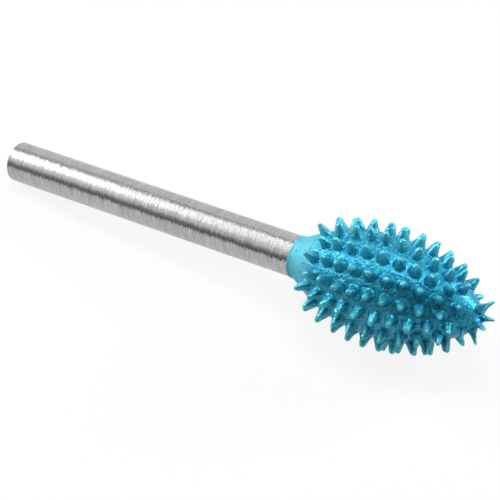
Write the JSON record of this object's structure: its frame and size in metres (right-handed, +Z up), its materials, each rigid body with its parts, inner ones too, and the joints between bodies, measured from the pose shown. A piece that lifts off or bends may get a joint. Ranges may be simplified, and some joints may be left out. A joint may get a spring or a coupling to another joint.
{
  "type": "rotary rasp",
  "caption": "Rotary rasp for power carving: a ground steel shank and an egg-shaped head covered in thorn-like teeth under a teal coat.",
  "frame": {"origin": "on the surface it lies on, under the middle of its length and of its width", "axes": "+X runs from the tail of the shank to the nose of the head, seen from above; +Z is up; the rasp lies at rest, nose end raised by 5.4 degrees"},
  "size_m": [0.0852, 0.0186, 0.0188],
  "materials": {
    "shank": "ground steel with fine marks around the rod",
    "head": "satin teal coat over steel and fused teeth, slightly pitted"
  },
  "bodies": {
    "root": {"shank": "shank", "head": "head"}
  },
  "joints": []
}
